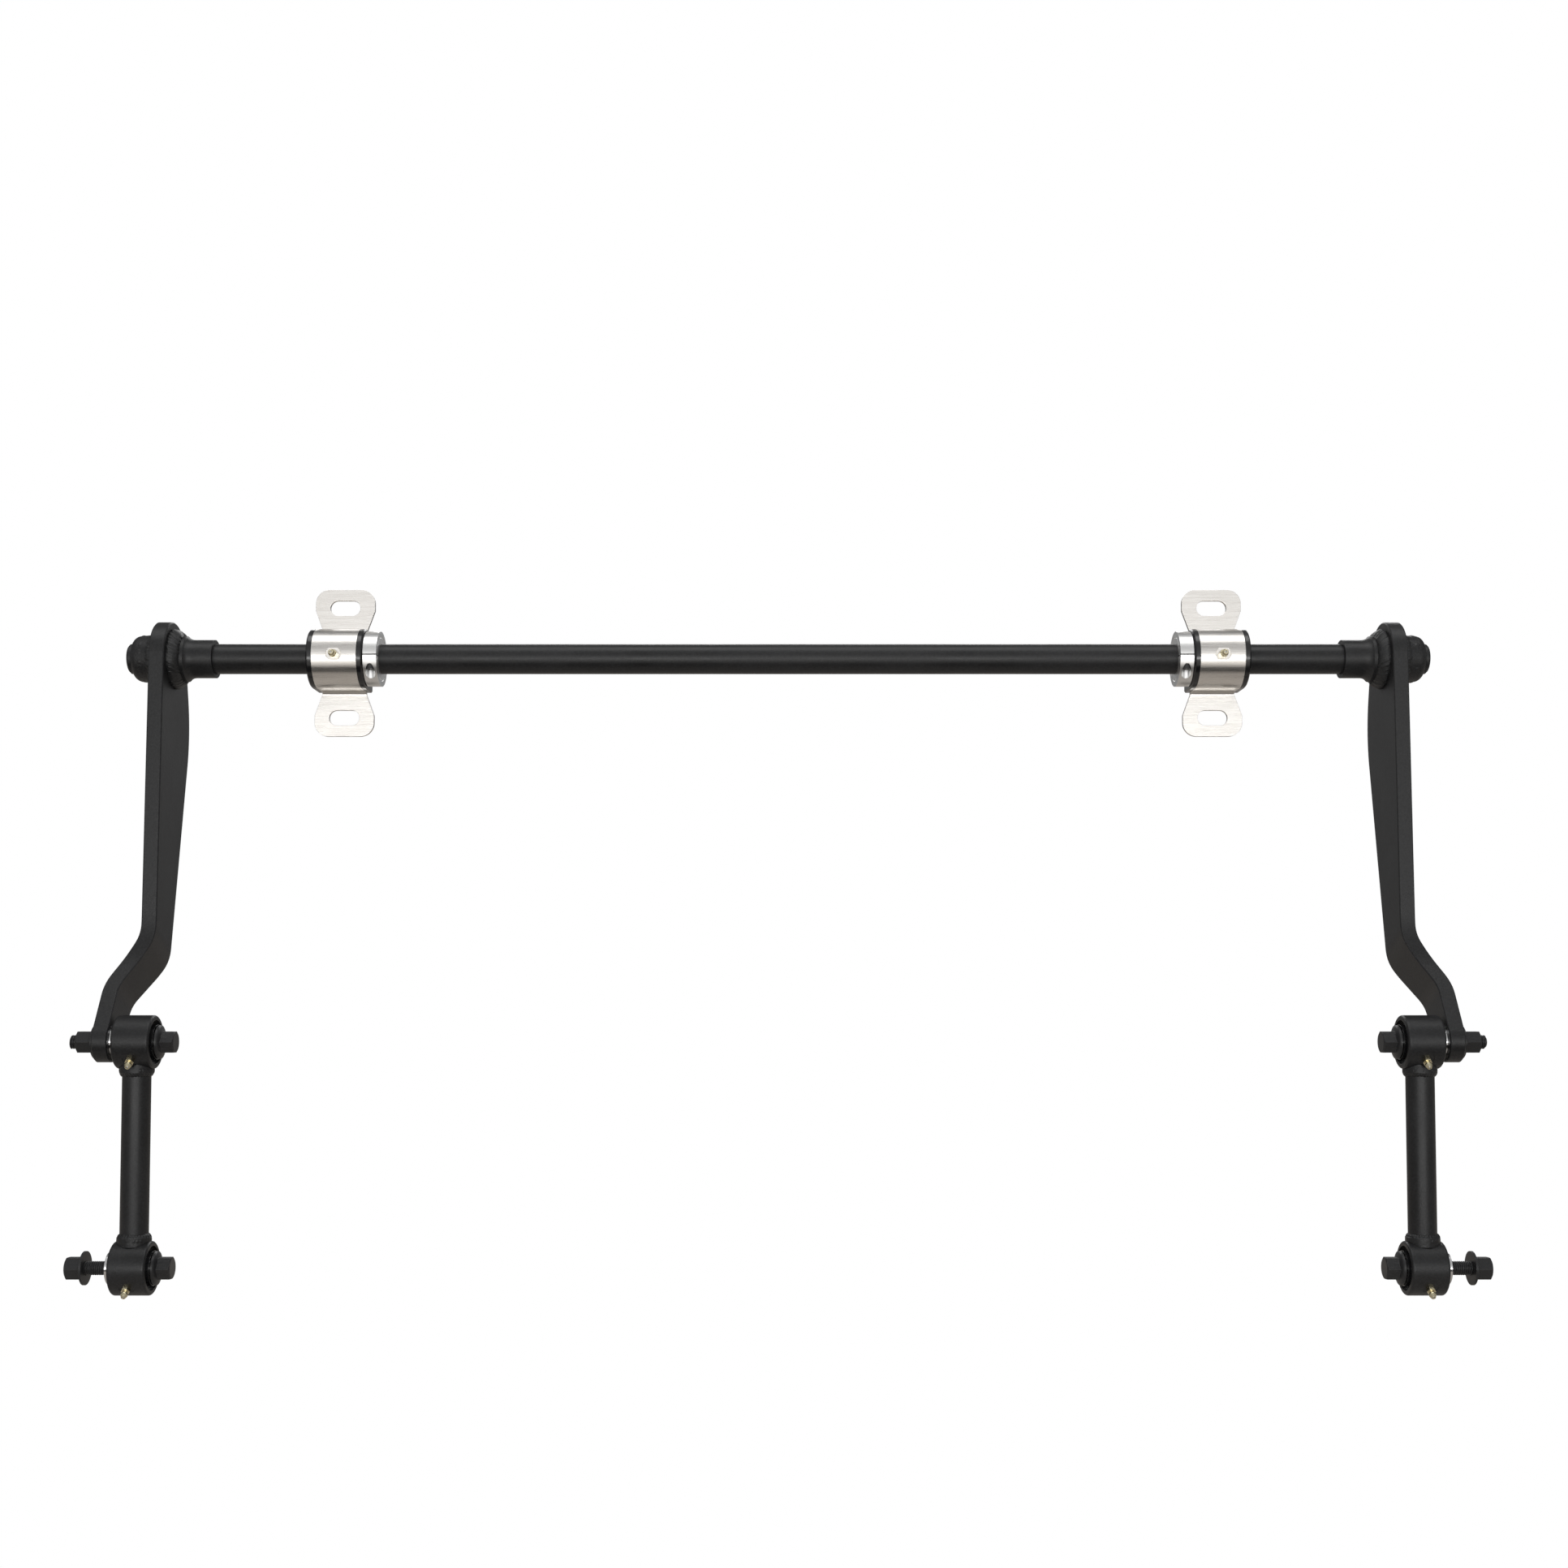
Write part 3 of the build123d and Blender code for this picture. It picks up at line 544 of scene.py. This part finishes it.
# Link bolts: a copy of the frame's own bolt, thinned to its core past the head, with a thread wound
# on it.
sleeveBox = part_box("link_sleeve_upper_right")
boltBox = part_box("link_bolt_upper_right")
linkBolt = {
    "y": upperPivot[1], "eyes": {"upper": upperPivot[2], "lower": lowerPivot[2]},
    "seat": sleeveBox[0].x, "threadStart": sleeveBox[1].x + 0.0004, "threadEnd": boltBox[1].x - 0.0005,
    "radius": 0.00636, "coreRadius": 0.00545, "pitch": 0.001954, "pitchRadius": 0.00558,
    "crestRadius": 0.00074, "mergeWithin": 0.000002, "slack": 0.00001,
}


def thinnedBolt(nodeName, side, height):
    shank = bmesh.new()
    shank.from_mesh(nodes[nodeName].data)
    bmesh.ops.remove_doubles(shank, verts=shank.verts, dist=linkBolt["mergeWithin"])
    shrink = linkBolt["coreRadius"] / linkBolt["radius"]
    for vert in shank.verts:
        across = ((vert.co.y - linkBolt["y"]) ** 2 + (vert.co.z - height) ** 2) ** 0.5
        if across < linkBolt["radius"] and vert.co.x * side > linkBolt["seat"] - linkBolt["slack"]:
            vert.co.y = linkBolt["y"] + (vert.co.y - linkBolt["y"]) * shrink
            vert.co.z = height + (vert.co.z - height) * shrink
    bmesh.ops.recalc_face_normals(shank, faces=shank.faces)
    mesh = bpy.data.meshes.new("boltCore")
    shank.to_mesh(mesh)
    shank.free()
    mesh.materials.append(boltBlack)
    piece = bpy.data.objects.new("boltCore", mesh)
    bpy.context.scene.collection.objects.link(piece)
    return piece


def woundThread(side, height):
    length = linkBolt["threadEnd"] - linkBolt["threadStart"]
    low = linkBolt["threadStart"] if side > 0 else -linkBolt["threadEnd"]
    return makePiece("boltThread", screwThread, {
        "Turns": length / linkBolt["pitch"], "Pitch Radius": linkBolt["pitchRadius"], "Length": length,
        "Crest Radius": linkBolt["crestRadius"], "Place": (low, linkBolt["y"], height),
        "Turn": turnedToX, "Material": boltBlack})


for sideName, side in sides.items():
    for eye, height in linkBolt["eyes"].items():
        body = armBodies[sideName] if eye == "upper" else f"axle_stud_{sideName}"
        node = f"link_bolt_{eye}_{sideName}"
        parts = [thinnedBolt(node, side, height), woundThread(side, height)]
        bolt = joinInto(f"threadedBolt_{eye}_{sideName}", parts, body, boltBlack)
        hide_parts(node)
print("threaded bolts made")

# Pale floor, plain white to the camera. Reflections see a dark strip across it, with paler ground
# on both sides of the strip.
stage = {
    "floorZ": -0.64, "floorSize": 14.0, "pale": (0.62, 0.61, 0.59, 1), "roughness": 0.85,
    "nearShade": (0.40, 0.37, 0.34), "nearEdge": (-0.44, -0.32), "darkStrip": (0.0, 0.0, 0.0),
    "farEdge": (-1.05, -0.84), "farShade": (0.74, 0.71, 0.67),  # edges are distances along Y
}
whiteGlow = {"Color": (1, 1, 1, 1), "Strength": 1.0}

floorMaterial, floorTree, floorShader = newMaterial("paleFloor")
floorShader.inputs["Base Color"].default_value = stage["pale"]
floorShader.inputs["Roughness"].default_value = stage["roughness"]
floorMesh = bpy.data.meshes.new("floor")
half = stage["floorSize"] / 2
corners = [(-half, -half), (half, -half), (half, half), (-half, half)]
floorMesh.from_pydata([(x, y, stage["floorZ"]) for x, y in corners], [], [(0, 1, 2, 3)])
floorMesh.materials.append(floorMaterial)
floor = bpy.data.objects.new("floor", floorMesh)
bpy.context.scene.collection.objects.link(floor)
rays = addNode(floorTree, "ShaderNodeLightPath")
spot = addNode(floorTree, "ShaderNodeSeparateXYZ", None,
               Vector=addNode(floorTree, "ShaderNodeTexCoord")["Object"])
nearPart = spread(floorTree, spot["Y"], stage["nearEdge"])
farPart = spread(floorTree, spot["Y"], stage["farEdge"], (1.0, 0.0))
shade = mixColor(floorTree, nearPart, stage["darkStrip"], stage["nearShade"])
shade = mixColor(floorTree, farPart, shade, stage["farShade"])
mirrored = addNode(floorTree, "ShaderNodeEmission", None, Color=shade, Strength=1.0)["Emission"]
white = addNode(floorTree, "ShaderNodeEmission", None, **whiteGlow)["Emission"]
plain = addNode(floorTree, "ShaderNodeMixShader", None, i0=rays["Is Glossy Ray"],
                i1=floorShader.outputs[0], i2=mirrored)[0]
seen = addNode(floorTree, "ShaderNodeMixShader", None, i0=rays["Is Camera Ray"], i1=plain, i2=white)[0]
floorTree.links.new(seen, floorTree.nodes["Material Output"].inputs["Surface"])

# Surroundings: brightest just above the horizon in front, dimmer below it, overhead, at the sides
# and behind.
sky = {
    "horizonRange": (-0.1, 0.1), "horizonStrength": (0.3, 0.9),
    "overheadRange": (0.25, 0.5), "overheadLoss": (0.0, 0.4),
    "sideRange": (0.45, 0.85), "sideShare": (1.0, 0.5),
    "behindRange": (-0.1, 0.5), "behindShare": (1.0, 0.3),
    "seenStrength": 1.0, "color": (1, 1, 1, 1),
}

world = bpy.data.worlds.new("studio")
bpy.context.scene.world = world
world.use_nodes = True
air = world.node_tree
background = air.nodes["Background"]
rays = addNode(air, "ShaderNodeLightPath")
heading = addNode(air, "ShaderNodeSeparateXYZ", None, Vector=addNode(air, "ShaderNodeTexCoord")["Generated"])
overhead = spread(air, heading["Z"], sky["overheadRange"], sky["overheadLoss"])
horizon = spread(air, heading["Z"], sky["horizonRange"], sky["horizonStrength"])
sideways = calc(air, "ABSOLUTE", heading["X"])
glow = calc(air, "SUBTRACT", horizon, overhead)
glow = calc(air, "MULTIPLY", glow, spread(air, sideways, sky["sideRange"], sky["sideShare"]))
glow = calc(air, "MULTIPLY", glow, spread(air, heading["Y"], sky["behindRange"], sky["behindShare"]))
strength = addNode(air, "ShaderNodeMix", None, i0=rays["Is Camera Ray"], i2=glow, i3=sky["seenStrength"])[0]
air.links.new(strength, background.inputs["Strength"])
background.inputs["Color"].default_value = sky["color"]
print("floor and surroundings set")

lamps = [
    {"name": "overheadLight", "where": (0, -0.5, 1.7), "turn": (-12, 0, 0), "size": (2.6, 0.9), "watts": 15},
    {"name": "frontLight", "where": (0, -3.0, -0.32), "turn": (92, 0, 0), "size": (3.2, 0.46), "watts": 28},
    {"name": "backLight", "where": (0.3, 2.4, 1.5), "turn": (-58, 0, 6), "size": (3.0, 1.0), "watts": 24},
]
for lamp in lamps:
    light = bpy.data.lights.new(lamp["name"], "AREA")
    light.shape = "RECTANGLE"
    light.size, light.size_y = lamp["size"]
    light.energy = lamp["watts"]
    holder = bpy.data.objects.new(lamp["name"], light)
    holder.location = lamp["where"]
    holder.rotation_euler = [radians(angle) for angle in lamp["turn"]]
    bpy.context.scene.collection.objects.link(holder)

cameraLook = {
    "where": (0, -1.8451, -0.332), "pitch": 92.89, "lens": 43.97, "sensor": 36,
    "shiftX": 0.0036, "shiftY": 0.08,
}
cameraData = bpy.data.cameras.new("camera")
cameraData.lens = cameraLook["lens"]
cameraData.sensor_width = cameraLook["sensor"]
cameraData.shift_x = cameraLook["shiftX"]
cameraData.shift_y = cameraLook["shiftY"]
camera = bpy.data.objects.new("camera", cameraData)
camera.location = cameraLook["where"]
camera.rotation_euler = (radians(cameraLook["pitch"]), 0, 0)
bpy.context.scene.collection.objects.link(camera)
bpy.context.scene.camera = camera
bpy.context.scene.view_settings.view_transform = "Standard"
print("lights and camera set")
